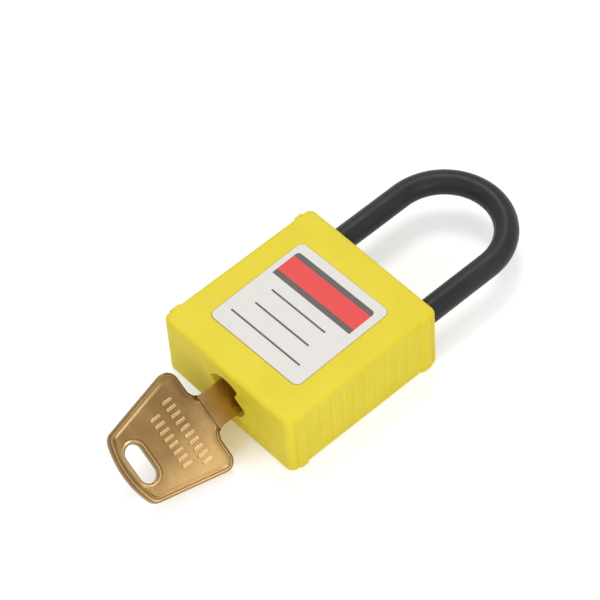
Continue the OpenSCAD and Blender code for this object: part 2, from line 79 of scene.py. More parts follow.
toeRise = 0.2  # how far the end of the raised short leg stands clear of the body
tiny = 1e-6
weld = 0.0002  # points nearer than this become one


# surfaces: points on a grid, joined by quads

def coords(*parts):
    return np.stack(parts, -1)


# each quad takes four neighbouring points; a wrapped direction joins its last line to its first
def gridQuads(rows, cols, wrapRows, wrapCols):
    r, c = np.meshgrid(np.arange(rows - (not wrapRows)), np.arange(cols - (not wrapCols)), indexing="ij")
    r2, c2 = (r + 1) % rows, (c + 1) % cols
    return coords(r * cols + c, r * cols + c2, r2 * cols + c2, r2 * cols + c).reshape(-1, 4)


# a tube is a grid of rings (rows) that is closed round, with a flat face over its first and last ring
def tube(points):
    return points, False, True, True


# a ring is a grid closed both ways, so it needs no end faces
def ring(points):
    return points, True, True, False


def addObject(name, data):
    thing = bpy.data.objects.new(name, data)
    bpy.context.collection.objects.link(thing)
    return thing


def addSurface(name, *grids):
    points, faces, start = [], [], 0
    for grid, wrapRows, wrapCols, capped in grids:
        rows, cols = grid.shape[:2]
        points.append(grid.reshape(-1, 3))
        faces += (gridQuads(rows, cols, wrapRows, wrapCols) + start).tolist()
        if capped:
            lastRing = start + (rows - 1) * cols
            faces += [list(range(start, start + cols)), list(range(lastRing, lastRing + cols))]
        start += rows * cols
    mesh = bpy.data.meshes.new(name)
    mesh.from_pydata((np.concatenate(points) * mm).tolist(), [], faces)
    work = bmesh.new()
    work.from_mesh(mesh)
    bmesh.ops.remove_doubles(work, verts=work.verts, dist=weld * mm)
    bmesh.ops.recalc_face_normals(work, faces=work.faces)
    work.to_mesh(mesh)
    work.free()
    return addObject(name, mesh)


def cutAway(piece, cutters):
    for cutter in cutters:
        step = piece.modifiers.new("cut", "BOOLEAN")
        step.operation, step.solver, step.object = "DIFFERENCE", "EXACT", cutter
    seen = piece.evaluated_get(bpy.context.evaluated_depsgraph_get())
    mesh = bpy.data.meshes.new_from_object(seen)
    piece.modifiers.clear()
    piece.data = mesh
    for cutter in cutters:
        bpy.data.meshes.remove(cutter.data)
    return piece


# smooth faces, with edges sharper than the angle kept sharp and flat faces kept flat
def smoothOver(piece, angle=34):
    piece.data.shade_smooth()
    piece.data.set_sharp_from_angle(angle=np.radians(angle))
    piece.modifiers.new("even normals", "WEIGHTED_NORMAL").keep_sharp = True
    return piece


def settle(piece, body, slotName, material, *nodes):
    piece.data.materials.clear()
    piece.data.materials.append(material)
    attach(piece, body)
    if nodes:
        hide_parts(*nodes)


def fullTurn(count):
    return np.linspace(0, 2 * np.pi, count, endpoint=False)


def quarterTurn(count):
    return np.linspace(0, np.pi / 2, count)


# rises from 0 to 1 over a width that is centred on the edge, with no corner
def softStep(value, edge, width):
    t = np.clip((value - edge) / width + 0.5, 0, 1)
    return t * t * (3 - 2 * t)


# the larger of two values, rounded over where they are within soft of each other
def softMax(a, b, soft):
    near = np.maximum(soft - np.abs(a - b), 0) / soft
    return np.maximum(a, b) + near * near * soft / 4


# 1 in the middle of a band, falling evenly to 0 at half its width
def band(value, middle, half):
    return np.clip(1 - np.abs(value - middle) / half, 0, 1)


# inset and height from one flat face to the other: a quarter circle, a straight wall, a quarter circle
def roundedWall(low, high, edge, steps=5, middles=0):
    turn = quarterTurn(steps)
    inset = edge * (1 - np.sin(turn))
    rise = edge * (1 - np.cos(turn))
    middle = np.linspace(low + edge, high - edge, middles + 2)[1:-1]
    return (np.concatenate([inset, np.zeros(middles), inset[::-1]]),
            np.concatenate([low + rise, middle, (high - rise)[::-1]]))


# a corner-rounded rectangle: four quarter circles, each about its own corner's middle, upper right first
def roundedBox(width, height, radius, steps=9):
    radius = np.repeat(np.broadcast_to(radius, 4), steps)
    corner = np.repeat(np.arange(4) * np.pi / 2, steps)
    angle = corner + np.tile(quarterTurn(steps), 4)
    signX = np.where(np.cos(corner + np.pi / 4) > 0, 1, -1)
    signY = np.where(np.sin(corner + np.pi / 4) > 0, 1, -1)
    return coords(signX * (width / 2 - radius) + radius * np.cos(angle),
                  signY * (height / 2 - radius) + radius * np.sin(angle))


def unitRows(rows):
    return rows / np.maximum(np.linalg.norm(rows, axis=1, keepdims=True), tiny)


# moves each point of a closed outline inwards along the mean of its two edges' normals
def insetOutline(outline, inset):
    before = unitRows(outline - np.roll(outline, 1, 0))
    after = unitRows(np.roll(outline, -1, 0) - outline)
    mean = unitRows(before + after)
    normal = coords(-mean[:, 1], mean[:, 0])
    stretch = 1 / np.clip((mean * after).sum(1, keepdims=True), 0.5, 1)
    following = np.roll(outline, -1, 0)
    area = (outline[:, 0] * following[:, 1] - following[:, 0] * outline[:, 1]).sum()
    return outline + np.sign(area) * inset * stretch * normal


# gives each ring of flat points its height
def atHeights(flat, height):
    return np.concatenate([flat, np.broadcast_to(height[:, None, None], flat.shape[:2] + (1,))], -1)


# a flat outline carried through a thickness, drawn in by a quarter circle at both faces
def plateGrid(outline, low, high, edge, steps=5):
    inset, height = roundedWall(low, high, edge, steps)
    return atHeights(np.stack([insetOutline(outline, i) for i in inset]), height)


# a circle of a given radius at each place along an axis, about a fixed middle
def turnedGrid(places, radii, middle, axis=1, count=72):
    turn = fullTurn(count)
    a, b = [k for k in range(3) if k != axis]
    places, radii = np.array(places, float), np.array(radii, float)
    points = np.zeros((len(places), count, 3))
    points[..., axis] = places[:, None]
    points[..., a] = middle[0] + radii[:, None] * np.cos(turn)
    points[..., b] = middle[1] + radii[:, None] * np.sin(turn)
    return points


# an outline in x and z carried along y
def alongY(outline, places):
    places = np.array(places, float)
    points = np.zeros((len(places), len(outline), 3))
    points[..., 0], points[..., 2] = outline[:, 0], outline[:, 1]
    points[..., 1] = places[:, None]
    return points


def blockGrid(low, high):
    x0, y0, z0 = low
    x1, y1, z1 = high
    return alongY(np.array([[x0, z0], [x1, z0], [x1, z1], [x0, z1]], float), [y0, y1])


# a round wire wound about an axis: a circle square to a helix, so it is turned into the helix's slope
def coilGrid(radius, wire, low, high, turns, perTurn=28, sides=12):
    t = np.linspace(0, 1, int(turns * perTurn) + 1)[:, None]
    b = fullTurn(sides)[None]
    angle = 2 * np.pi * turns * t
    slope = np.arctan2((high - low - 2 * wire) / turns, 2 * np.pi * radius)
    out = radius + wire * np.cos(b)
    x = out * np.cos(angle) + wire * np.sin(b) * np.sin(angle) * np.sin(slope)
    z = out * np.sin(angle) - wire * np.sin(b) * np.cos(angle) * np.sin(slope)
    y = low + wire + (high - low - 2 * wire) * t + wire * np.sin(b) * np.cos(slope)
    return coords(x, y, z)


# finishes: sizes and heights are in mm

def startFinish(name):
    material = bpy.data.materials.new(name)
    material.use_nodes = True
    tree = material.node_tree
    place = tree.nodes.new("ShaderNodeTexCoord").outputs["Object"]
    return material, tree, tree.nodes["Principled BSDF"], place


# a node with its inputs set to numbers and colours, or linked where the value is another node's output
def addNode(tree, kind, values, **settings):
    node = tree.nodes.new(kind)
    for name, value in settings.items():
        setattr(node, name, value)
    for name, value in values.items():
        if isinstance(value, bpy.types.NodeSocket):
            tree.links.new(value, node.inputs[name])
        else:
            node.inputs[name].default_value = value
    return node


def turnedPlace(tree, place, turn=(0, 0, 0), scale=(1, 1, 1)):
    values = {"Vector": place, "Rotation": turn, "Scale": scale}
    return addNode(tree, "ShaderNodeMapping", values).outputs["Vector"]


# noise whose blotches are about size mm across
def blotches(tree, place, size, detail=3.0, rough=0.55):
    values = {"Vector": place, "Scale": 1 / (size * mm), "Detail": detail, "Roughness": rough}
    return addNode(tree, "ShaderNodeTexNoise", values).outputs["Fac"]


def spread(tree, value, low, high, toLow, toHigh):
    values = {"Value": value, "From Min": low, "From Max": high, "To Min": toLow, "To Max": toHigh}
    return addNode(tree, "ShaderNodeMapRange", values).outputs["Result"]


# goes from inside to outside between two distances from a spot
def aroundSpot(tree, place, spot, reach, inside=1, outside=0):
    values = {0: place, 1: [v * mm for v in spot]}
    away = addNode(tree, "ShaderNodeVectorMath", values, operation="DISTANCE").outputs["Value"]
    return spread(tree, away, reach[0] * mm, reach[1] * mm, inside, outside)


def sums(tree, how, a, b):
    return addNode(tree, "ShaderNodeMath", {0: a, 1: b}, operation=how).outputs[0]


def mixed(tree, share, a, b):
    a, b = ((*colour, 1) if isinstance(colour, tuple) else colour for colour in (a, b))
    return addNode(tree, "ShaderNodeMix", {0: share, 6: a, 7: b}, data_type="RGBA").outputs[2]


# each layer is a value, how high it stands and how strongly it shows
def raised(tree, shader, *layers):
    under = {}
    for value, height, strength in layers:
        values = {"Height": value, "Distance": height * mm, "Strength": strength, **under}
        under = {"Normal": addNode(tree, "ShaderNodeBump", values).outputs["Normal"]}
    tree.links.new(under["Normal"], shader.inputs["Normal"])


def setFinish(tree, shader, colour, rough, other, level):
    tree.links.new(colour, shader.inputs["Base Color"])
    tree.links.new(rough, shader.inputs["Roughness"])
    shader.inputs[other].default_value = level


moulding = {"mottle": 11, "marks": 3.2, "wear": 2.4, "ripple": 5.5, "rippleHeight": 0.02}


# moulded plastic: broad mottling, soil about a spot, faint marks, worn gloss, fine grain on a slow ripple
def mouldedFinish(name, look):
    m = moulding
    material, tree, shader, place = startFinish(name)
    mottle = spread(tree, blotches(tree, place, m["mottle"]), 0.35, 0.65, 0, 1)
    colour = mixed(tree, mottle, look["deep"], look["pale"])
    if "soil" in look:
        soil = look["soil"]
        near = aroundSpot(tree, place, soil["spot"], soil["reach"])
        specks = spread(tree, blotches(tree, place, soil["size"], 3.0, 0.6), 0.48, 0.70, 0, 1)
        colour = mixed(tree, sums(tree, "MULTIPLY", near, specks), colour, soil["colour"])
    marks = spread(tree, blotches(tree, place, m["marks"], 5.0, 0.62), 0.62, 0.8, 0, look["markShare"])
    colour = mixed(tree, marks, colour, look["mark"])
    rough = spread(tree, blotches(tree, place, m["wear"], 4.0), 0.3, 0.7, *look["rough"])
    setFinish(tree, shader, colour, rough, "Specular IOR Level", look["specular"])
    grain, ripple = blotches(tree, place, look["grain"], 2.0), blotches(tree, place, m["ripple"], 1.0)
    raised(tree, shader, (grain, look["grainHeight"], 0.5), (ripple, m["rippleHeight"], 0.3))
    return material


keyholeSoil = {"spot": (3, baseY - 4, 5), "reach": (5, 13.5), "size": 3.6, "colour": (0.56, 0.50, 0.034)}
yellowLook = {"deep": (0.785, 0.645, 0.034), "pale": (0.825, 0.685, 0.046), "mark": (0.50, 0.42, 0.05),
              "markShare": 0.10, "rough": (0.46, 0.58), "grain": 0.22, "grainHeight": 0.010, "specular": 0.20,
              "soil": keyholeSoil}
blackLook = {"deep": (0.020, 0.0207, 0.0222), "pale": (0.028, 0.029, 0.031), "mark": (0.06, 0.06, 0.065),
             "markShare": 0.20, "rough": (0.33, 0.47), "grain": 0.16, "grainHeight": 0.006, "specular": 0.19}
guideLook = {"deep": (0.05, 0.05, 0.054), "pale": (0.07, 0.07, 0.075), "mark": (0.12, 0.12, 0.12),
             "markShare": 0.3, "rough": (0.45, 0.6), "grain": 0.2, "grainHeight": 0.008, "specular": 0.5}
yellowNylon = mouldedFinish("yellow nylon", yellowLook)
blackNylon = mouldedFinish("black nylon", blackLook)
guidePlastic = mouldedFinish("guide plastic", guideLook)

metalWear = {"tarnish": 2.6, "lines": 0.35, "lineHeight": 0.004, "dents": 0.9, "dentHeight": 0.006}


# metal: tarnish in blotches, tool marks stretched along one direction and small dents
def metalFinish(name, deep, pale, rough, stretch):
    w = metalWear
    material, tree, shader, place = startFinish(name)
    tarnish = spread(tree, blotches(tree, place, w["tarnish"], 4.0), 0.3, 0.7, 0, 1)
    lines = blotches(tree, turnedPlace(tree, place, scale=stretch), w["lines"], 3.0)
    even = spread(tree, lines, 0.25, 0.75, *rough)
    setFinish(tree, shader, mixed(tree, tarnish, deep, pale), even, "Metallic", 1.0)
    dents = blotches(tree, place, w["dents"], 2.0)
    raised(tree, shader, (lines, w["lineHeight"], 0.5), (dents, w["dentHeight"], 0.35))
    return material


turnedBrass = metalFinish("turned brass", (0.50, 0.33, 0.13), (0.66, 0.47, 0.21), (0.24, 0.42), (0.3, 6, 0.3))
zincSteel = metalFinish("zinc steel", (0.50, 0.51, 0.53), (0.64, 0.64, 0.65), (0.26, 0.44), (5, 5, 0.5))
springWire = metalFinish("spring wire", (0.40, 0.40, 0.42), (0.58, 0.58, 0.60), (0.2, 0.36), (1, 4, 1))
print("plain finishes made")


# painted light in these colours: the bow's lighter side is painted highlight, the neck's yellower colour a painted
# reflection of the yellow body, the colour deep in the keyhole painted light, crest painted highlight, slope
# painted shade
keyBrassLook = {"brown": (0.225, 0.132, 0.050), "field": (0.275, 0.164, 0.064), "litBrass": (0.56, 0.37, 0.155),
                "bodyReflection": (0.39, 0.212, 0.029), "deep": (0.64, 0.365, 0.056), "tarnish": (0.17, 0.095, 0.036),
                "crest": (0.86, 0.62, 0.31), "slope": (0.115, 0.064, 0.027), "rough": (0.30, 0.42),
                "cloudSize": 6.5, "patchSize": 4.0, "patchShare": 0.16, "tarnishSize": 1.3,
                "tarnishShare": 0.4, "crestGloss": 0.05, "grainSize": 0.16, "dentSize": 1.1,
                "scuffSize": 0.5, "heights": (0.006, 0.016, 0.003)}


# key brass: brown in the sunk field, with a painted highlight that makes the bow lighter towards one side, a
# painted reflection of the yellow body on the neck and painted light inside the keyhole (that mark runs from 0 to
# 2), painted highlights along the crest of the rim, which is a little glossier, and painted shade down its slopes
def keyBrassFinish(name, c):
    material, tree, shader, place = startFinish(name)
    marks = (addNode(tree, "ShaderNodeAttribute", {}, attribute_name=mark).outputs["Fac"]
             for mark in ("litSide", "bodyReflection", "crest", "slope"))
    litSide, bodyReflection, crest, slope = marks
    cloud = spread(tree, blotches(tree, place, c["cloudSize"], 3.0), 0.3, 0.7, 0, 1)
    patches = blotches(tree, place, c["patchSize"], 4.0)
    patchy = spread(tree, patches, 0.25, 0.75, -c["patchShare"], c["patchShare"])
    spots = blotches(tree, place, c["tarnishSize"], 4.0, 0.65)
    tarnish = spread(tree, spots, 0.60, 0.78, 0, c["tarnishShare"])
    # the colour deep in the keyhole painted light; crest is painted highlight and slope painted shade
    # the lighter side is a painted highlight over random patches, the neck's colour a painted reflection of the
    # body,
    shares = {"field": cloud, "litBrass": sums(tree, "ADD", litSide, patchy), "bodyReflection": bodyReflection,
              "deep": sums(tree, "SUBTRACT", bodyReflection, 1), "tarnish": tarnish, "crest": crest, "slope": slope}
    colour = c["brown"]
    for shade, share in shares.items():  # each shade lies over those before it
        colour = mixed(tree, share, colour, c[shade])
    grain, dents = blotches(tree, place, c["grainSize"], 2.0), blotches(tree, place, c["dentSize"], 2.0)
    scuff = blotches(tree, turnedPlace(tree, place, (0, 0.4, 0.3), (1, 7, 1)), c["scuffSize"], 3.0)
    even = spread(tree, scuff, 0.3, 0.7, *c["rough"])
    polished = sums(tree, "MULTIPLY", crest, c["crestGloss"])
    setFinish(tree, shader, colour, sums(tree, "SUBTRACT", even, polished), "Metallic", 1.0)
    layers = zip((grain, dents, scuff), c["heights"])
    raised(tree, shader, *((value, height, 0.4) for value, height in layers))
    return material


keyBrass = keyBrassFinish("key brass", keyBrassLook)

printedFilm = {"streak": 2.2, "wear": 1.5, "peel": 0.7, "peelHeight": 0.004, "specular": 0.16}


# printed film: even ink or white film, faint streaks from handling, a very slight orange peel
def filmFinish(name, colour, worn, rough=(0.45, 0.56)):
    p = printedFilm
    material, tree, shader, place = startFinish(name)
    streak = blotches(tree, turnedPlace(tree, place, (0, 0, 0.5), (1, 3, 1)), p["streak"], 4.0, 0.6)
    ink = mixed(tree, spread(tree, streak, 0.45, 0.85, 0, 0.5), colour, worn)
    even = spread(tree, blotches(tree, place, p["wear"]), 0.3, 0.7, *rough)
    setFinish(tree, shader, ink, even, "Specular IOR Level", p["specular"])
    raised(tree, shader, (blotches(tree, place, p["peel"], 1.0), p["peelHeight"], 0.4))
    return material


whiteFilm = filmFinish("white film", (0.80, 0.765, 0.725), (0.72, 0.685, 0.64))
greyInk = filmFinish("grey ink", (0.138, 0.127, 0.119), (0.17, 0.16, 0.15))
redInk = filmFinish("red ink", (0.83, 0.085, 0.082), (0.76, 0.10, 0.10))
# a dark colour for the line round the label's film: painted shadow of the film's edge
filmEdgeShade = filmFinish("film edge shade", (0.34, 0.285, 0.035), (0.50, 0.41, 0.05), (0.6, 0.7))
print("key and label finishes made")


# body
bodyBlock = {"cornerRound": 2.0, "edgeRound": 1.15, "panelDepth": 0.5, "stepWidth": 0.42,
             "stripWidth": 2.4, "stripInset": 2.4, "stripRise": 0.4, "endGroove": 0.6, "endGrooveDepth": 0.22,
             "grooves": 9, "groovePitch": 3.3, "grooveWidth": 1.9, "grooveDepth": 0.18,
             "grooveMargin": 1.6, "grooveFade": 1.2, "stepReach": 1.2}
stripFar = topY - bodyBlock["stripInset"]
stripNear = stripFar - bodyBlock["stripWidth"]
grooveFar = stripFar + bodyBlock["endGroove"]
groovePlaces = (np.arange(bodyBlock["grooves"]) - (bodyBlock["grooves"] - 1) / 2) * bodyBlock["groovePitch"]


# half-width along the body: grip panel, up to a strip, down to a groove, up to the corner, all by soft steps;
# past the start of the corner it follows the corner's circle
def halfWidthAt(y):
    b, far = bodyBlock, np.abs(y)
    panel, corner = bodyWidth / 2 - b["panelDepth"], bodyWidth / 2 - b["stripRise"]
    width = panel + b["panelDepth"] * softStep(far, stripNear, b["stepWidth"])
    width = width - (b["stripRise"] + b["endGrooveDepth"]) * softStep(far, stripFar, b["stepWidth"])
    width = width + b["endGrooveDepth"] * softStep(far, grooveFar, b["stepWidth"])
    past = np.clip(far - (topY - b["cornerRound"]), 0, b["cornerRound"])
    circle = corner - b["cornerRound"] + np.sqrt(b["cornerRound"] ** 2 - past ** 2)
    return np.where(past > 0, np.minimum(width, circle), width)


# one cosine dip for each grip groove, fading out towards the front and back
def grooveAt(y, z):
    b = bodyBlock
    off = np.clip(np.abs(y[..., None] - groovePlaces) / (b["grooveWidth"] / 2), 0, 1)
    fade = softStep(axisZ - np.abs(z - axisZ), b["grooveMargin"], b["grooveFade"])
    return b["grooveDepth"] * fade * (0.5 + 0.5 * np.cos(np.pi * off)).sum(-1)


# points up the right side, close together at each dip and step, then over the top end, down the left and back
def bodyOutline():
    b = bodyBlock
    fine = np.linspace(-0.5, 0.5, 15)
    edges = (stripNear, stripFar, grooveFar)
    steps = np.concatenate([edge + fine[::2] * b["stepReach"] * b["stepWidth"] for edge in edges])
    corner = topY - b["cornerRound"] + b["cornerRound"] * np.sin(quarterTurn(14))
    dips = (groovePlaces[:, None] + fine * b["grooveWidth"]).ravel()
    y = np.unique(np.round(np.concatenate([dips, steps, -steps, corner, -corner]), 4))
    x = halfWidthAt(y)
    across = np.linspace(1, -1, 26)[1:-1] * x[-1]
    return np.concatenate([coords(x, y), coords(across, np.full_like(across, topY)),
                           coords(-x, y)[::-1], coords(-across, np.full_like(across, baseY))])


# the outline at each height, drawn in all round by the edge's quarter circle, with the grooves in its sides
def bodyGrid():
    outline = bodyOutline()
    inset, height = roundedWall(0, bodyThick, bodyBlock["edgeRound"], 8, 14)
    reach = np.abs(outline)[None] - inset[:, None, None] * np.abs(outline) / np.array([bodyWidth / 2, topY])
    dip = grooveAt(outline[None, :, 1], height[:, None]) * (np.abs(outline[:, 1]) < stripNear)
    onSide = np.abs(outline[:, 0]) > bodyWidth / 2 - 1
    reach[..., 0] -= dip * onSide
    return atHeights(np.sign(outline) * reach, height)


keyhole = {"radius": 5.9, "stopRise": (3.0, 1.15), "stopGap": 1.7, "turn": 78.0, "lip": 0.16, "count": 600}


# the keyhole's radius at each angle: a circle, or nearer where a straight-edged stop stands in the way
def keyholeOutline(grow):
    h = keyhole
    angle = fullTurn(h["count"])
    ray = coords(np.cos(angle), np.sin(angle))
    radius = np.full(h["count"], h["radius"])
    farTurn = np.radians(h["turn"]) + keyTurn
    for side, rise in zip((1, -1), h["stopRise"]):
        toFace = ray @ (side * np.array([np.sin(keyTurn), np.cos(keyTurn)]))
        toBack = ray @ (side * np.array([np.sin(farTurn), np.cos(farTurn)]))
        stop = np.maximum(rise / np.maximum(toFace, tiny), h["stopGap"] / np.maximum(toBack, tiny))
        radius = np.minimum(radius, np.where((toFace > 0) & (toBack > 0), stop, h["radius"]))
    return ray * (radius + grow)[:, None] + np.array([0, axisZ])


# room round what the body holds; the flare gives how far below the top end and how much wider a leg's hole is
bodyHoles = {"clear": 0.05, "intoHousing": 0.4, "keelHalf": 1.25, "keelTop": 4.0, "mouthClear": 0.1,
             "mouthRound": 1.2, "legClear": 0.06, "flareDrop": (0.5, 0.3, 0.1, -0.02, -1),
             "flareGrow": (0, 0.06, 0.24, 0.45, 0.45), "toeRoom": 0.5, "pinRadius": 1.25, "pinRoom": 0.9,
             "noseClear": 0.1, "noseHalf": 2.9}


# the block less its holes: the keyhole with a quarter-circle lip, the cylinder's bore and keel slot, the
# bolt's chamber and mouth, a flared hole for each leg, the stop pin's hole and the way for the bolt's nose
def makeBody():
    h, lip = bodyHoles, keyhole["lip"]
    turn, holeEnd = quarterTurn(6), housingLow[1] + h["intoHousing"]
    grow = np.concatenate([[lip], lip * (1 - np.sin(turn)), [0]])
    places = np.concatenate([[baseY - 1], baseY + lip * (1 - np.cos(turn)), [holeEnd]])
    hole = np.stack([alongY(keyholeOutline(g), [p])[0] for g, p in zip(grow, places)])
    boreRadius = (housingHigh[0] - housingLow[0]) / 2 + h["clear"]
    bore = turnedGrid((housingLow[1], guideLow[1]), [boreRadius] * 2, (0, axisZ), 1, 96)
    keel = blockGrid((-h["keelHalf"], housingLow[1], housingLow[2] - h["clear"]),
                     (h["keelHalf"], guideLow[1], h["keelTop"]))
    chamberX, chamberZ = guideHigh[0] + h["clear"], guideHigh[2] - axisZ + h["clear"]
    chamber = blockGrid((-chamberX, guideLow[1] - h["clear"], axisZ - chamberZ),
                        (chamberX, capLow[1], axisZ + chamberZ))
    mouthX, mouthZ = capHigh[0] - capLow[0] + h["mouthClear"], capHigh[2] - capLow[2] + h["mouthClear"]
    mouth = alongY(roundedBox(mouthX, mouthZ, h["mouthRound"]) + np.array([0, axisZ]), (capLow[1], topY + 1))
    legRadius = rodRadius + h["legClear"]
    flare = [topY - drop for drop in h["flareDrop"]]
    flareRadius = legRadius + np.array(h["flareGrow"])
    heel = turnedGrid((springLow[1] - h["clear"], *flare), (legRadius, *flareRadius), (-legX, axisZ))
    toe = turnedGrid((topY + toeRise - lift - h["toeRoom"], *flare), (legRadius, *flareRadius), (legX, axisZ))
    pinY = (pinLow[1] + pinHigh[1]) / 2
    pinHole = turnedGrid((-legX, pinHigh[0] + h["pinRoom"]), [h["pinRadius"]] * 2, (pinY, axisZ), 0, 40)
    nose = blockGrid((0, boltLow[1] - h["noseClear"], axisZ - h["noseHalf"]),
                     (legX, boltHigh[1] + h["noseClear"], axisZ + h["noseHalf"]))
    block = addSurface("body", tube(bodyGrid()))
    holes = (hole, bore, keel, chamber, mouth, heel, toe, pinHole, nose)
    return cutAway(block, [addSurface("cutter%d" % k, tube(grid)) for k, grid in enumerate(holes)])


settle(smoothOver(makeBody()), "case", "body_nylon", yellowNylon, "body_shell")
print("body made")


# top cap: a corner-rounded plate pressed into the mouth at the shackle end
topCap = {"cornerRound": 1.15, "edge": 0.3, "sunk": 0.06}


def makeTopCap():
    outline = roundedBox(capHigh[0] - capLow[0], capHigh[2] - capLow[2], topCap["cornerRound"])
    grid = plateGrid(outline, capLow[1], capHigh[1] - topCap["sunk"], topCap["edge"])
    return addSurface("topCap", tube(coords(grid[..., 0], grid[..., 2], grid[..., 1] + axisZ)))


settle(smoothOver(makeTopCap()), "case", "body_nylon", yellowNylon, "top_cap")
print("top cap made")


# shackle: a circle carried up the long leg, round a half circle and down the short leg
shackleRod = {"chamfer": 0.7, "neckRadius": 1.9, "foot": 2.8, "pinRoom": 0.1, "tip": 1.5, "notchDepth": 2.6,
              "boltRoom": 0.2, "count": 64, "step": 0.03, "bend": 50}


def makeShackle():
    s = shackleRod
    low, high = boxMm("shackle")
    heelY, toeY, bowY = low[1], topY + toeRise, high[1] - legX - rodRadius
    neckLow, neckHigh = heelY + s["foot"], pinHigh[1] + lift + s["pinRoom"]
    notchLow = toeY + s["tip"]
    notchHigh = notchLow + boltHigh[1] - boltLow[1] + s["boltRoom"]
    rounding = np.array([0.0, 0.35, 0.75, 1.0])
    endRadii = rodRadius - s["chamfer"] * (1 - np.sin(rounding * np.pi / 2))
    # height and radius up the long leg: chamfer, foot, step in to the neck, step out to the rod
    neckPlaces = [neckLow - s["step"], neckLow, neckHigh, neckHigh + s["step"]]
    neckRadii = [rodRadius, s["neckRadius"], s["neckRadius"], rodRadius]
    heelRod = np.linspace(neckHigh + 1, bowY, 10)
    heelPlaces = np.concatenate([heelY + s["chamfer"] * rounding, neckPlaces, heelRod])
    heelRadii = np.concatenate([endRadii, neckRadii, np.full_like(heelRod, rodRadius)])
    # and down the short leg: rod, the two ends of the notch, chamfer
    notchPlaces = [notchHigh + s["step"], notchHigh, notchLow, notchLow - s["step"]]
    toeRod = np.concatenate([np.linspace(bowY, notchHigh + 1, 8), notchPlaces])
    toePlaces = np.concatenate([toeRod, toeY + s["chamfer"] * rounding[::-1]])
    toeRadii = np.concatenate([np.full_like(toeRod, rodRadius), endRadii[::-1]])
    bend = np.linspace(np.pi, 0, s["bend"])[1:-1]
    heelOnes, toeOnes = np.ones_like(heelPlaces), np.ones_like(toePlaces)
    middleY = np.concatenate([heelPlaces, bowY + legX * np.sin(bend), toePlaces])[:, None]
    outX = np.concatenate([-heelOnes, np.cos(bend), toeOnes])[:, None]
    outY = np.concatenate([0 * heelOnes, np.sin(bend), 0 * toeOnes])[:, None]
    radius = np.concatenate([heelRadii, np.full_like(bend, rodRadius), toeRadii])[:, None]
    angle = fullTurn(s["count"])
    away, upward = radius * np.cos(angle), radius * np.sin(angle)
    # the notch: no point of the short leg goes further inwards there than its flat floor
    notched = (outX == 1) & (middleY <= notchHigh + tiny) & (middleY >= notchLow - tiny)
    away = np.where(notched, np.maximum(away, s["notchDepth"] - rodRadius), away)
    points = coords(legX * outX + outX * away, middleY + outY * away, axisZ + upward)
    return addSurface("shackleRod", tube(points))


settle(smoothOver(makeShackle()), "shackle", "shackle_nylon", blackNylon, "shackle")
print("shackle made")


# springs
liftSpring = {"wire": 0.8, "turns": 9.5, "sharp": 0.8}


def makeLiftSpring():
    wire = liftSpring["wire"] / 2
    radius = (springHigh[2] - springLow[2]) / 2 - wire
    grid = coilGrid(radius, wire, springLow[1], springHigh[1], liftSpring["turns"])
    piece = addSurface("liftSpring", tube(grid + np.array([-legX, 0, axisZ])))
    piece.data.shade_smooth()
    piece.data.set_sharp_from_angle(angle=liftSpring["sharp"])
    settle(piece, "case", "spring_steel", springWire, "shackle_spring")
    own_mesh(piece)


# the plug's own frame: across the blade, out of the body, through the blade's thickness
def inPlug(points):
    across, through = points[..., 0], points[..., 2]
    x = across * np.cos(keyTurn) + through * np.sin(keyTurn)
    z = axisZ - across * np.sin(keyTurn) + through * np.cos(keyTurn)
    return coords(x, points[..., 1], z)


# each lies across the blade at its own wafer, between low and high, off the blade's middle
waferSpring = {"diameter": 1.26, "wire": 0.24, "turns": 4, "low": -2.175, "high": 1.075, "off": 3.93}


def makeWaferSprings():
    s = waferSpring
    radius = (s["diameter"] - s["wire"]) / 2
    grid = coilGrid(radius, s["wire"] / 2, s["low"], s["high"], s["turns"], 20, 8)
    for k in range(1, 7):
        low, high = boxMm("wafer_%d" % k)
        laid = coords(grid[..., 1], (low[1] + high[1]) / 2 + grid[..., 0], s["off"] + grid[..., 2])
        piece = addSurface("waferSpring%d" % k, tube(inPlug(laid)))
        piece.data.shade_smooth()
        settle(piece, "barrel", "spring_steel", springWire, "wafer_spring_%d" % k)


makeLiftSpring()
makeWaferSprings()
print("springs made")


# key: points are x across the bow and v outwards from the body's end
keyBow = {"offset": 0.5, "corner": 2.8, "shoulder": (10.45, 10.25), "endHalf": 6.77, "arch": (7.8, 20.2),
          "neck": 4.3, "neckSpan": (10, 4.5), "fillet": 2.8, "neckEnd": 6.3, "tuck": (0.12, 0.15, 0.3),
          "slot": (2.65, 25.95, 2.25), "field": 0.75, "fieldEnd": (28.2, 1.4), "fieldEndRise": 0.2,
          "rim": 1.15, "rimStart": (0.5, 1.0), "rimInner": (1.38, 0.5, 0.4), "rimOuter": 0.72,
          "edgeDrop": 0.46, "rimLine": (0.92, 0.24, 0.04), "bead": 1.08, "beadFoot": (0.82, 0.5),
          "beadEdge": 0.3, "beadDrop": 0.3, "blend": 0.06, "roundShare": 0.98, "leftSide": (4.0, 4.0),
          "leftStart": (11.0, 3.0), "columns": 420}


# signed distance to a closed polygon: the least distance to its edges, negative inside, where a line to the
# right crosses an odd number of edges
def polygonDistance(points, corners):
    a, b = corners, np.roll(corners, -1, 0)
    toPoint = points[..., None, :] - a
    edge = b - a
    share = np.clip((toPoint * edge).sum(-1) / (edge * edge).sum(-1), 0, 1)
    least = np.linalg.norm(toPoint - share[..., None] * edge, axis=-1).min(-1)
    x, y = points[..., 0, None], points[..., 1, None]
    above = (a[:, 1] > y) != (b[:, 1] > y)
    crossX = a[:, 0] + (y - a[:, 1]) * edge[:, 0] / np.where(np.abs(edge[:, 1]) < tiny, tiny, edge[:, 1])
    return np.where((above & (x < crossX)).sum(-1) % 2 == 1, -least, least)


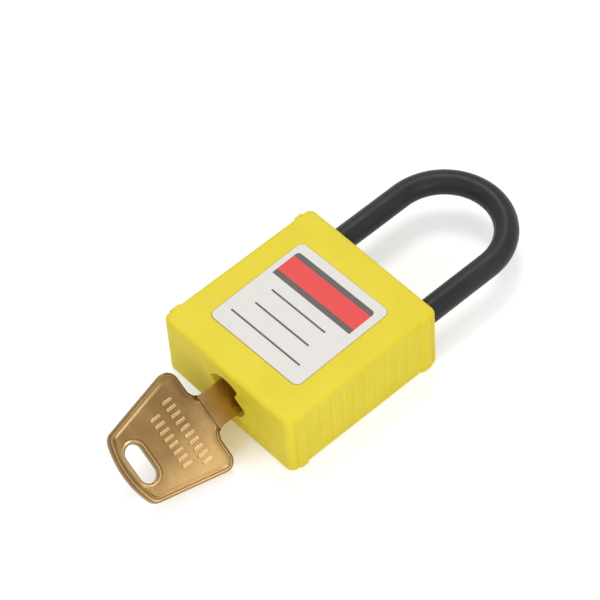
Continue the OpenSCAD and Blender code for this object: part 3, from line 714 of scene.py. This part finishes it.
# the bow: a polygon through its corners' middles, arched at the end, grown by the corner radius and joined
# to the neck by a hollow fillet, a circle of its radius where both distances are less than it; where the bow
# runs on into the neck it is drawn in by the tuck
def bowDistance(points):
    k = keyBow
    (sx, sy), (archV, archR) = k["shoulder"], k["arch"]
    swing = np.arcsin(k["endHalf"] / archR)
    arch = np.linspace(swing, -swing, 17)
    archEnd = coords(archR * np.sin(arch), archV + archR * np.cos(arch))
    bow = polygonDistance(points, np.concatenate([[[-sx, sy], [sx, sy]], archEnd])) - k["corner"]
    neckMiddle, neckHalf = k["neckSpan"]
    neck = np.maximum(np.abs(points[..., 0]) - k["neck"], np.abs(points[..., 1] - neckMiddle) - neckHalf)
    short = np.hypot(np.maximum(k["fillet"] - bow, 0), np.maximum(k["fillet"] - neck, 0))
    joined = np.maximum(k["fillet"], np.minimum(bow, neck)) - short
    tuck, edge, width = k["tuck"]
    return joined + tuck * softStep(-points[..., 1], -k["neckEnd"] + edge, width)


# the ring slot: two half circles joined by straight sides
def slotDistance(points):
    sx, sv, sr = keyBow["slot"]
    return np.hypot(np.maximum(np.abs(points[..., 0]) - sx, 0), points[..., 1] - sv) - sr


# distance along each ray at which a signed distance reaches grow, found by halving
def rayReach(distance, middle, rays, grow, reach=40.0):
    near, far = np.zeros(len(rays)), np.full(len(rays), reach)
    for _ in range(44):
        half = (near + far) / 2
        inside = distance(middle + rays * half[:, None]) < grow
        near, far = np.where(inside, half, near), np.where(inside, far, half)
    return near


# 1 along the long edge on the left, 0 on the right and by the neck
def bowLeft(points):
    return softStep(-points[..., 0], *keyBow["leftSide"]) * softStep(points[..., 1], *keyBow["leftStart"])


# half thickness of the bow: the highest of a sunk floor, a rim along the edge with a wider slope on the left,
# and a bead round the slot; a cosine line is sunk in the rim, and both edges fall away by a quarter circle
def bowHeight(points):
    k = keyBow
    d, e = -bowDistance(points), slotDistance(points)
    v = points[..., 1]
    floor = k["field"] + k["fieldEndRise"] * softStep(v, *k["fieldEnd"])
    rimEdge, rimWidth = k["rimStart"]
    crest = floor + (k["rim"] - floor) * softStep(v, k["neckEnd"] + rimEdge, rimWidth)
    foot, narrow, wider = k["rimInner"]
    rim = floor + (crest - floor) * (1 - softStep(d, foot, narrow + wider * bowLeft(points)))
    bead = floor + (k["bead"] - floor) * (1 - softStep(e, *k["beadFoot"]))
    line, half, depth = k["rimLine"]
    top = softMax(rim, bead, k["blend"]) - depth * (0.5 - 0.5 * np.cos(np.pi * band(d, line, half)))
    outer = np.clip(1 - d / k["rimOuter"], 0, 1)
    top = top - k["edgeDrop"] * (1 - np.sqrt(1 - outer ** 2 * k["roundShare"]))
    inner = np.clip(1 - e / k["beadEdge"], 0, 1)
    return top - k["beadDrop"] * (1 - np.sqrt(1 - inner ** 2 * k["roundShare"]))


# the bow's faces run on rays from the slot's middle, from the outer edge to the slot's edge, and back on the
# other face; the rings lie close together where the rim and the bead turn
def bowGrid():
    k = keyBow
    middle = np.array([0.0, k["slot"][1]])
    angle = fullTurn(k["columns"])
    rays = coords(np.sin(angle), -np.cos(angle))
    edgeRings = [0, 0.015, 0.05, 0.1, 0.17, 0.26, 0.36, 0.46, 0.56, 0.64]
    insets = np.concatenate([edgeRings, np.arange(0.71, 1.95, 0.07)])
    grows = [1.24, 1.15, 1.06, 0.98, 0.9, 0.82, 0.74, 0.66, 0.58, 0.45, 0.3, 0.2, 0.12, 0.06, 0.02, 0]
    outer = np.stack([rayReach(bowDistance, middle, rays, -i) for i in insets])
    inner = np.stack([rayReach(slotDistance, middle, rays, g) for g in grows])
    between = np.linspace(0, 1, 20)[1:-1, None]
    reach = np.concatenate([outer, outer[-1] + (inner[0] - outer[-1]) * between, inner])
    flat = middle + rays[None] * reach[..., None]
    height = bowHeight(flat)
    face = np.concatenate([flat, height[..., None]], -1)
    back = np.concatenate([flat, -height[..., None]], -1)[::-1]
    return np.concatenate([face, back])


# the groove is its shift, width, depth, start and edge
keyBlade = {"half": 4.0, "thick": 2.0, "edge": 0.14, "tip": -26.2, "slope": 2.5, "neckTop": -2.35,
            "first": -5.4, "pitch": 3.3, "cuts": (0.5, 0.5, 0.9, 1.3, 1.3, 1.7), "apart": 0.001,
            "groove": (1.75, 1.3, 0.5, 1.0, 0.02)}


# neck and blade in one outline: flared end, hollow fillets, straight neck, shoulders, then the blade with one
# cut for each wafer and a slope of 45 degrees between two cuts
def bladeOutline():
    k, b = keyBow, keyBlade
    filletMiddle = k["shoulder"][1] - k["corner"] - k["fillet"]
    turn = np.linspace(np.arcsin((k["neckEnd"] - filletMiddle) / k["fillet"]), 0, 9)
    filletX = k["neck"] + k["fillet"] - k["fillet"] * np.cos(turn)
    filletV = filletMiddle + k["fillet"] * np.sin(turn)
    tipSide = b["tip"] + b["slope"]
    straight = [[k["neck"], b["neckTop"]], [b["half"], b["neckTop"]], [b["half"], tipSide],
                [b["half"] - b["slope"] / 2, b["tip"] + b["slope"] / 2], [0, b["tip"]]]
    right = np.concatenate([coords(filletX, filletV), straight])
    cuts = np.array(b["cuts"])
    before = np.concatenate([[0], cuts[:-1]])
    place = b["first"] - b["pitch"] * (np.arange(len(cuts)) - 0.5)
    slopeTop = coords(-b["half"] + before, place)
    slopeFoot = coords(-b["half"] + cuts, place - (cuts - before) - b["apart"])
    slopes = np.stack([slopeTop, slopeFoot], 1).reshape(-1, 2)
    left = np.concatenate([[[-b["half"] + cuts[-1], tipSide]], slopes[::-1],
                           [[-b["half"], b["neckTop"]], [-k["neck"], b["neckTop"]]],
                           coords(-filletX, filletV)[::-1]])
    return np.concatenate([right, left])


def keyPlace(grid):
    return inPlug(coords(grid[..., 0] + keyBow["offset"], baseY - grid[..., 1], grid[..., 2]))


# each row is its place, its number of ribs and its shift to the side
gripRibs = {"width": 0.85, "length": 3.0, "round": 0.45, "root": 0.25, "rise": 0.28, "edge": 0.2,
            "pitch": 1.78, "rows": ((12.75, 10, 0.35), (17.25, 8, 0.1))}


# two rows of short raised ribs that give the thumb a hold
def ribGrids():
    g, grids = gripRibs, []
    outline = roundedBox(g["width"], g["length"], g["width"] * g["round"], 6)
    low, high = keyBow["field"] - g["root"], keyBow["field"] + g["rise"]
    for v, count, shift in g["rows"]:
        for x in (np.arange(count) - (count - 1) / 2) * g["pitch"] + shift:
            grids.append(tube(keyPlace(plateGrid(outline + np.array([x, v]), low, high, g["edge"]))))
    return grids


def makeKey():
    half = keyBlade["thick"] / 2
    blank = plateGrid(bladeOutline(), -half, half, keyBlade["edge"], 4)
    blade = addSurface("bladeBlank", tube(keyPlace(blank)))
    shift, width, depth, start, edge = keyBlade["groove"]
    x0, x1, end = shift - width / 2, shift + width / 2, keyBlade["tip"] - 1
    corners = np.array([[x0, start], [x1, start], [x1, end], [x0, end]])
    strip = plateGrid(corners, half - depth, half + 1, edge, 2)
    cutAway(blade, [addSurface("groove", tube(keyPlace(strip)))])
    bow = addSurface("brassKey", ring(keyPlace(bowGrid())), *ribGrids())
    work = bmesh.new()
    work.from_mesh(bow.data)
    work.from_mesh(blade.data)
    work.to_mesh(bow.data)
    work.free()
    bpy.data.meshes.remove(blade.data)
    return bow


# painted light: a highlight across the bow and a little on the neck, a reflection of the yellow body towards the
# keyhole
# with light inside it, highlight on the ribs' tops and the far end's floor, and shade at the ribs' feet
keyMarks = {"litLean": (0.35, 16), "litSide": (4.5, 17.0), "neckLit": (1.5, 6.0), "neckLitShare": 0.3,
            "reflectionNeck": (-3.0, 4.4), "holeLight": (-0.5, 1.4), "bowStart": (0.6, 0.8),
            "farEnd": (27.6, 2.0), "fieldEdge": (1.9, 1.2), "proud": (0.14, 0.14), "proudShare": 0.38,
            "sunk": 0.02, "sunkShare": 0.9, "endFloor": (1.25, 0.5), "endFloorShare": 0.25,
            "crestShare": 0.95, "slopeShare": 0.88}
# painted highlight lines (crest) and painted shade lines (slope) along the bow's edge (0) or the slot's (1): how
# far in, half width, how much narrower on the left, and strength by the neck on the right and left, then at the
# far end on the right and left
keyLines = {"crest": ((0, 1.38, 0.44, 0, 0, 1, 0, 0), (0, 0.62, 0.22, 0, 0, 0.4, 0, 0.4),
                      (0, 0.50, 0.25, 0, 0, 0, 0.35, 0.35), (1, 0.66, 0.28, 0, 0.8, 0.8, 0.32, 0.32)),
            "slope": ((0, 0.30, 0.34, 0, 0.8, 1.0, 0.4, 0.6), (0, 0.92, 0.30, 0.06, 1, 0.75, 1, 0.75),
                      (0, 1.38, 0.3, 0, 0.2, 0, 0, 0), (0, 1.75, 0.2, 0, 0.3, 0, 0, 0),
                      (1, 1.06, 0.16, 0, 0.5, 0.5, 0, 0))}


def markLines(name, edges, left, far):
    near, right = 1 - far, 1 - left
    weights = (near * right, near * left, far * right, far * left)
    return [sum(s * w for s, w in zip(shares, weights)) * band(edges[edge], middle, half - narrower * left)
            for edge, middle, half, narrower, *shares in keyLines[name]]


# marks for the finish, worked out from each point's place on the key: a painted highlight grows across the bow, a
# painted reflection of the yellow body grows towards the keyhole and painted light grows again inside it, crest is
# painted highlight on the lines of the rim, the slot's bead and the ribs, and slope is painted shade on the lines
# beside them
def markKey(piece):
    k, m = keyBow, keyMarks
    co = np.empty(3 * len(piece.data.vertices))
    piece.data.vertices.foreach_get("co", co)
    x, y, z = co.reshape(-1, 3).T / mm
    across, v = x * np.cos(keyTurn) - (z - axisZ) * np.sin(keyTurn) - k["offset"], baseY - y
    through = np.abs(x * np.sin(keyTurn) + (z - axisZ) * np.cos(keyTurn))
    flat = coords(across, v)
    edges = (-bowDistance(flat), slotDistance(flat))
    onBow = softStep(v, k["neckEnd"] + m["bowStart"][0], m["bowStart"][1])
    lean, leanMiddle = m["litLean"]
    # painted highlight: lighter towards one side of the bow, and a little on one side of the neck
    litSide = softStep(across - lean * (v - leanMiddle), *m["litSide"]) * onBow
    litSide = litSide + m["neckLitShare"] * softStep(across, *m["neckLit"]) * (1 - onBow)
    # painted reflection of the yellow body on the neck, rising to 1, then painted light inside the keyhole, up to
    # 2
    bodyReflection = softStep(-v, *m["reflectionNeck"]) + softStep(-v, *m["holeLight"])
    # the ribs' tops get painted highlight and the ribs' feet, sunk below the field, get painted shade
    inField = (edges[0] > m["fieldEdge"][0]) & (edges[1] > m["fieldEdge"][1])
    proud = softStep(through, k["field"] + m["proud"][0], m["proud"][1]) * inField
    sunk = (through < k["field"] - m["sunk"]) & inField
    far, left = softStep(v, *m["farEnd"]), bowLeft(flat)
    # painted highlight on the floor of the bow's far end
    endFloor = m["endFloorShare"] * softStep(edges[0], *m["endFloor"]) * far
    # bright marks are painted highlights and dark marks painted shade
    bright = [*markLines("crest", edges, left, far), endFloor, m["proudShare"] * proud]
    dark = [*markLines("slope", edges, left, far), m["sunkShare"] * sunk]
    crest, slope = (np.max(np.stack(marks), 0) * onBow for marks in (bright, dark))
    crest, slope = m["crestShare"] * crest, m["slopeShare"] * slope
    for name, values in (("litSide", litSide), ("bodyReflection", bodyReflection), ("crest", crest), ("slope", slope)):
        attribute = piece.data.attributes.new(name, "FLOAT", "POINT")
        attribute.data.foreach_set("value", np.ascontiguousarray(values, np.float32))
    return piece


settle(smoothOver(markKey(makeKey()), angle=40), "key", "key_brass", keyBrass, "key")
print("key made")


# label print: thin layers of ink on the film, turned with it, and a dark line of painted shadow along the film's
# edge; each box is middle x, middle y, width, height
labelPrint = {"skew": 1.2, "ink": 0.012, "under": 0.05, "edge": 0.004,
              "header": (-0.3, 7.82, 25.1, 8.3), "headerRound": (1.0, 1.0, 0.05, 0.05),
              "stripe": (-0.3, 7.82, 25.1, 5.3), "stripeRound": 0.05, "ruleRound": 0.2,
              "rules": ((-0.6, 0.2, 17.5, 0.5), (-0.6, -4.9, 17.5, 0.5), (-0.6, -10.0, 22.5, 0.5)),
              "shadowLine": (-0.02, -0.02, 29.0, 29.24), "shadowLineRound": 1.75, "shadowLineRise": 0.015}


# a corner-rounded plate, turned by the skew, that reaches a little under the surface it lies on
def filmLayer(name, box, radius, surface, rise, material):
    p = labelPrint
    outline = roundedBox(*box[2:], radius) + np.array(box[:2])
    grid = plateGrid(outline, surface - p["under"], surface + rise, p["edge"], 2)
    skew = np.radians(p["skew"])
    x = grid[..., 0] * np.cos(skew) - grid[..., 1] * np.sin(skew)
    y = grid[..., 0] * np.sin(skew) + grid[..., 1] * np.cos(skew)
    settle(addSurface(name, tube(coords(x, y, grid[..., 2]))), "case", "label_film", material)


def printLabel():
    p, film = labelPrint, boxMm("label")[1][2]
    filmLayer("labelHeader", p["header"], p["headerRound"], film, p["ink"], greyInk)
    filmLayer("labelStripe", p["stripe"], p["stripeRound"], film, 2 * p["ink"], redInk)
    for k, rule in enumerate(p["rules"], 1):
        filmLayer("labelRule%d" % k, rule, p["ruleRound"], film, p["ink"], greyInk)
    # painted shadow: a dark line round the film's edge
    filmLayer("labelEdgeShade", p["shadowLine"], p["shadowLineRound"], bodyThick, p["shadowLineRise"], filmEdgeShade)


printLabel()
print("label printed")


# the CAD nodes that keep their own shape
nodeFinish = {"label": whiteFilm, "heel_stop_pin": zincSteel, "spring_cup": blackNylon,
              "cylinder_housing": turnedBrass, "plug": turnedBrass, "plug_clip": springWire,
              "tail_cam": zincSteel, "bolt_guide": guidePlastic, "lock_bolt": zincSteel,
              **{"wafer_%d" % k: turnedBrass for k in range(1, 7)}}
for node, material in nodeFinish.items():
    kept = frame["nodes"][node]
    if not kept.material_slots:
        kept.data.materials.append(material)
    for slot in kept.material_slots:
        slot.material = material
print("inner pieces finished")


# stage: half and drop are in m, the places and reaches in mm
stageFloor = {"half": 1.5, "drop": 0.00004, "seen": 0.46, "colour": (0.74, 0.74, 0.74),
              "bounce": (0.80, 0.80, 0.80), "paler": 0.05, "beside": (15, 26), "before": (30, 16),
              "neck": (6, -27, 0), "neckReach": (7, 24), "far": (90, 300), "farGlow": 0.4,
              "warmSpot": (3.5, -25, 0), "warmReach": (3, 12), "warmTint": (0.53, 0.405, 0.126)}


# 1 for a ray from the camera, mirrored or let through, and 0 for the rest
def seenShare(tree):
    node = tree.nodes.new("ShaderNodeLightPath")
    share = sums(tree, "MAXIMUM", node.outputs["Is Camera Ray"], node.outputs["Is Glossy Ray"])
    return sums(tree, "MAXIMUM", share, node.outputs["Is Transmission Ray"])


# what the camera sees of the floor is part glow and part lit colour, so bare floor is white and the shadow
# stays; the glow is stronger beside and before the body than in the shackle and under the key's neck, grows
# far away, and is warm under the neck, where the yellow body and the brass throw light on it
def floorFinish():
    f = stageFloor
    material, tree, shader, place = startFinish("pale floor")
    tree.nodes.remove(shader)
    warm = aroundSpot(tree, place, f["warmSpot"], f["warmReach"])
    split = addNode(tree, "ShaderNodeSeparateXYZ", {0: place})
    beside, before = (spread(tree, split.outputs[axis], f[name][0] * mm, f[name][1] * mm, 0, 1)
                      for axis, name in (("X", "beside"), ("Y", "before")))
    clear = aroundSpot(tree, place, f["neck"], f["neckReach"], 0, f["paler"])
    extra = sums(tree, "MULTIPLY", sums(tree, "MAXIMUM", beside, before), clear)
    far = aroundSpot(tree, place, f["neck"], f["far"], f["seen"], f["seen"] + f["farGlow"])
    tint, strength = mixed(tree, warm, (1, 1, 1), f["warmTint"]), sums(tree, "ADD", extra, far)
    glow = addNode(tree, "ShaderNodeEmission", {"Color": tint, "Strength": strength})
    lit, other = (addNode(tree, "ShaderNodeBsdfDiffuse", {"Color": (*f[name], 1)})
                  for name in ("colour", "bounce"))
    both = addNode(tree, "ShaderNodeAddShader", {0: glow.outputs[0], 1: lit.outputs[0]})
    parts = {0: seenShare(tree), 1: other.outputs[0], 2: both.outputs[0]}
    pick = addNode(tree, "ShaderNodeMixShader", parts)
    tree.links.new(pick.outputs[0], tree.nodes["Material Output"].inputs["Surface"])
    return material


# the floor is a square grid, level with the body's back face
def makeFloor():
    side = np.linspace(-stageFloor["half"], stageFloor["half"], 9) / mm
    x, y = np.meshgrid(side, side)
    grid = coords(x, y, np.full_like(x, -stageFloor["drop"] / mm))
    floor = addSurface("floor", (grid, False, False, False))
    floor.data.materials.append(floorFinish())


# each lamp: the way to it, how far, how wide, its power, and whether shiny pieces mirror it
lamps = {"softbox": ((-0.357, 0.281, 0.891), 0.9, 0.30, 2.62, True),
         "sidePanel": ((0.87, 0.0, 0.49), 0.45, 0.25, 0.44, True),
         "frontFill": ((0.3, -0.8, 0.5), 0.6, 0.5, 1.0, False)}
skyLevel = 0.5


def makeLamps():
    for name, (way, distance, size, power, mirrored) in lamps.items():
        lamp = bpy.data.lights.new(name, "AREA")
        lamp.shape, lamp.size, lamp.energy = "DISK", size, power
        panel = addObject(name, lamp)
        way = Vector(way).normalized()
        turn = way.to_track_quat("Z", "Y").to_matrix().to_4x4()
        panel.matrix_world = Matrix.Translation(way * distance) @ turn
        panel.visible_camera, panel.visible_glossy = False, mirrored


def makeSky():
    world = bpy.data.worlds.new("studio")
    bpy.context.scene.world = world
    world.use_nodes = True
    tree = world.node_tree
    sky = tree.nodes["Background"]
    sky.inputs["Color"].default_value = (1, 1, 1, 1)
    tree.links.new(spread(tree, seenShare(tree), 0, 1, skyLevel, 1), sky.inputs["Strength"])


# the camera stands at an azimuth and elevation about the aim point, then rolls about its own axis
viewer = {"azimuth": 51.27, "elevation": 52.55, "roll": -4.56, "distance": 686.6, "aim": (-4.74, 4.25, 15.62),
          "lens": 181.38, "film": 36.0}


def makeCamera():
    v = viewer
    az, el, roll = np.radians([v["azimuth"], v["elevation"], v["roll"]])
    back = np.array([np.sin(az) * np.cos(el), -np.cos(az) * np.cos(el), np.sin(el)])
    right = np.array([np.cos(az), np.sin(az), 0])
    up = np.cross(back, right)
    right, up = right * np.cos(roll) + up * np.sin(roll), up * np.cos(roll) - right * np.sin(roll)
    turn = Matrix(np.stack([right, up, back], 1).tolist()).to_4x4()
    lens = bpy.data.cameras.new("viewer")
    lens.lens, lens.sensor_width, lens.clip_start, lens.clip_end = v["lens"], v["film"], 0.01, 20
    camera = addObject("viewer", lens)
    camera.matrix_world = Matrix.Translation(Vector((np.array(v["aim"]) + back * v["distance"]) * mm)) @ turn
    bpy.context.scene.camera = camera


makeFloor()
makeLamps()
makeSky()
makeCamera()
bpy.context.scene.view_settings.view_transform = "Standard"
print("stage set")
